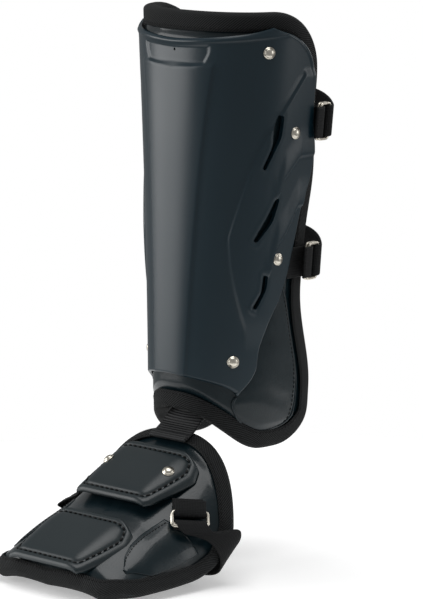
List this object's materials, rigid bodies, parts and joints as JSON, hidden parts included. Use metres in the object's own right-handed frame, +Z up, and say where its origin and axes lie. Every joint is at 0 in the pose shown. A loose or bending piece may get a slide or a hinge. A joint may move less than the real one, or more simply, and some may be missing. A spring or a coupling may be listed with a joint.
{
  "type": "batter leg guard",
  "caption": "Batter leg guard with a slotted hard shin shell on a padded liner, two calf straps with rings, and a padded instep guard with plates.",
  "frame": {"origin": "on the axis of the leg that the guard is worn on, at the middle of the hard shell's height", "axes": "+Z up the leg from the ankle to the knee, -Y towards the front of the shin, +X the outer side of the leg, where the rings are"},
  "size_m": [0.1829, 0.285, 0.4428],
  "materials": {
    "shell_plastic": "semi-gloss moulded blue-black plastic",
    "padded_leather": "glossy black synthetic leather over foam",
    "binding_tape": "black twill binding tape",
    "plate_plastic": "semi-gloss black moulded plate with a stitched edge",
    "strap_webbing": "black ribbed webbing",
    "nickel_metal": "bright nickel plate"
  },
  "bodies": {
    "root": {"shin_shell": "shell_plastic", "shin_pad": "padded_leather", "ankle_wing_panel_outer": "padded_leather", "ankle_wing_panel_inner": "padded_leather", "instep_pad": "padded_leather", "instep_side_panel_outer": "padded_leather", "instep_side_panel_inner": "padded_leather", "shin_pad_tape": "binding_tape", "instep_pad_tape": "binding_tape", "instep_plate_upper": "plate_plastic", "instep_plate_lower": "plate_plastic", "upper_tab": "strap_webbing", "upper_strap": "strap_webbing", "lower_tab": "strap_webbing", "lower_strap": "strap_webbing", "ankle_webbing": "strap_webbing", "foot_tab": "strap_webbing", "foot_strap": "strap_webbing", "top_rivet_outer": "nickel_metal", "top_rivet_inner": "nickel_metal", "upper_rivet_outer": "nickel_metal", "upper_rivet_inner": "nickel_metal", "middle_rivet_outer": "nickel_metal", "middle_rivet_inner": "nickel_metal", "lower_rivet_outer": "nickel_metal", "lower_rivet_inner": "nickel_metal", "plate_rivet_outer": "nickel_metal", "plate_rivet_inner": "nickel_metal", "upper_ring_outer": "nickel_metal", "upper_ring_inner": "nickel_metal", "lower_ring_outer": "nickel_metal", "lower_ring_inner": "nickel_metal", "foot_ring_outer": "nickel_metal", "foot_ring_inner": "nickel_metal"}
  },
  "joints": []
}
